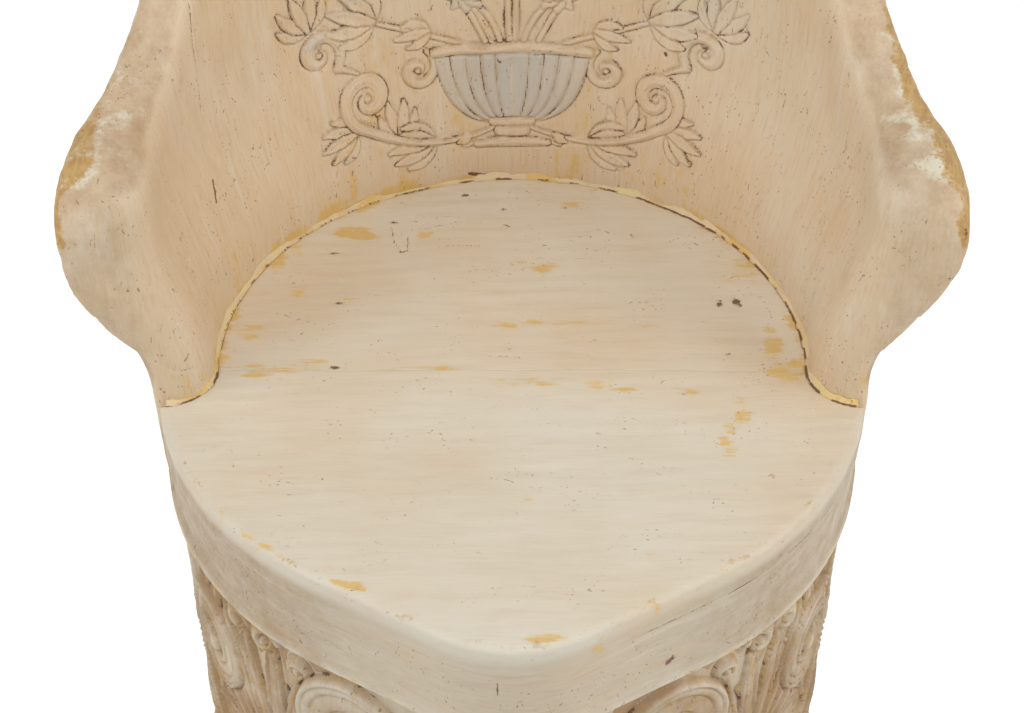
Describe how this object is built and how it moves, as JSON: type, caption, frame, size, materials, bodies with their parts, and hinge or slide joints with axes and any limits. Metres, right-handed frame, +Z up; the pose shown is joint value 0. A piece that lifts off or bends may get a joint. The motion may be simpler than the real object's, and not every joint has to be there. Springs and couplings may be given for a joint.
{
  "type": "dugout chair",
  "caption": "Low armchair hewn from one hollowed log, with a prow-fronted plank seat set inside a flared back and arms, worn cream paint and a relief-carved base.",
  "frame": {"origin": "at floor level, under the middle of the chair's plan", "axes": "+Z up, -Y towards the front of the seat, +X to the right of someone facing the chair"},
  "size_m": [0.5652, 0.5378, 0.896],
  "materials": {
    "painted_wood": "worn satin paint, pink cream over ochre",
    "painted_plank": "worn satin paint, whiter in front",
    "joint_filler": "thin lath set in filler and painted over",
    "iron": "dull forged iron",
    "putty": "painted filler",
    "bare_wood": "bare aged softwood"
  },
  "bodies": {
    "root": {"trunk": "painted_wood", "seat_front_plank": "painted_plank", "seat_rear_plank": "painted_plank", "joint_strip": "joint_filler", "seat_nails": "iron", "nail_putty": "putty", "seat_batten_left": "bare_wood", "seat_batten_right": "bare_wood", "batten_nails": "iron"}
  },
  "joints": []
}
